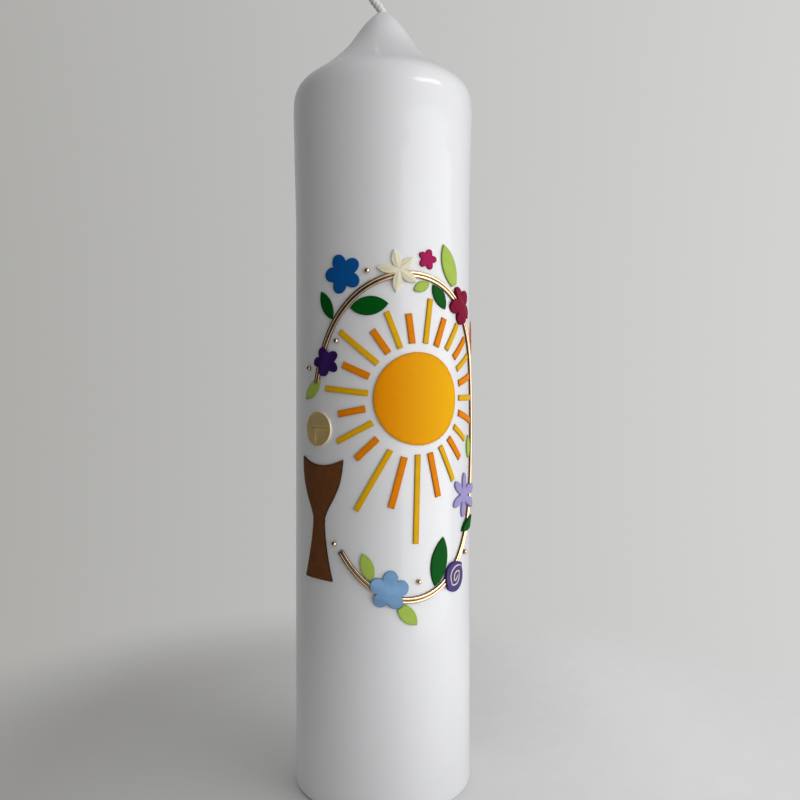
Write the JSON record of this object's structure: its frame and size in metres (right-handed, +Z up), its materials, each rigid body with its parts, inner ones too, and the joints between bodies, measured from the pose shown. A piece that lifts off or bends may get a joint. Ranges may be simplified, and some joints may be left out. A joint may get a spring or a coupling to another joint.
{
  "type": "decorated pillar candle",
  "caption": "White overdipped pillar candle with an ogee head and a cut wax sheet motif of sun, chalice, host and flower wreath.",
  "frame": {"origin": "centre of the base, where the candle stands", "axes": "+Z up along the candle's axis; the sun's centre faces -Y; +X is to the right of the decoration"},
  "size_m": [0.062, 0.0632, 0.2788],
  "materials": {
    "white_wax": "satin dipped wax",
    "core_wax": "matte pressed wax",
    "cotton": "braided, waxed",
    "sun_yellow": "satin wax sheet",
    "ray_yellow": "satin wax sheet",
    "ray_orange": "satin wax sheet",
    "gold": "bright gold foil on wax",
    "bronze_brown": "satin bronze-brown wax sheet",
    "host_gold": "pale gold foil on wax",
    "dark_green": "satin wax sheet",
    "light_green": "satin wax sheet",
    "blue": "satin wax sheet",
    "cream": "pearly wax sheet",
    "magenta": "satin wax sheet",
    "crimson": "pearly wax sheet",
    "violet": "satin wax sheet",
    "lilac": "satin wax sheet",
    "pale_blue": "satin wax sheet",
    "coral": "satin wax sheet",
    "pink": "satin wax sheet",
    "spiral_violet": "satin wax sheet"
  },
  "bodies": {
    "root": {"wax_core": "core_wax", "overdip_coat": "white_wax", "wick": "cotton", "sun_disc": "sun_yellow", "ray_orange_01": "ray_orange", "ray_orange_02": "ray_orange", "ray_orange_03": "ray_orange", "ray_orange_04": "ray_orange", "ray_orange_05": "ray_orange", "ray_orange_06": "ray_orange", "ray_orange_07": "ray_orange", "ray_orange_08": "ray_orange", "ray_orange_09": "ray_orange", "ray_orange_10": "ray_orange", "ray_orange_11": "ray_orange", "ray_orange_12": "ray_orange", "ray_yellow_01": "ray_yellow", "ray_yellow_02": "ray_yellow", "ray_yellow_03": "ray_yellow", "ray_yellow_04": "ray_yellow", "ray_yellow_05": "ray_yellow", "ray_yellow_06": "ray_yellow", "ray_yellow_07": "ray_yellow", "ray_yellow_08": "ray_yellow", "ray_yellow_09": "ray_yellow", "ray_yellow_10": "ray_yellow", "ray_yellow_11": "ray_yellow", "ray_yellow_12": "ray_yellow", "chalice": "bronze_brown", "host": "host_gold", "wreath_strand_outer": "gold", "wreath_strand_inner": "gold", "bead_1": "gold", "bead_2": "gold", "bead_3": "gold", "bead_4": "gold", "bead_5": "gold", "bead_6": "gold", "flower_blue": "blue", "flower_cream": "cream", "flower_magenta": "magenta", "flower_crimson": "crimson", "flower_violet": "violet", "flower_lilac": "lilac", "flower_pale_blue": "pale_blue", "flower_coral": "coral", "flower_pink": "pink", "spiral_disc": "spiral_violet", "leaf_dark_1": "dark_green", "leaf_dark_2": "dark_green", "leaf_dark_3": "dark_green", "leaf_dark_4": "dark_green", "leaf_dark_5": "dark_green", "leaf_dark_6": "dark_green", "leaf_light_1": "light_green", "leaf_light_2": "light_green", "leaf_light_3": "light_green", "leaf_light_4": "light_green", "leaf_light_5": "light_green", "leaf_light_6": "light_green"}
  },
  "joints": []
}
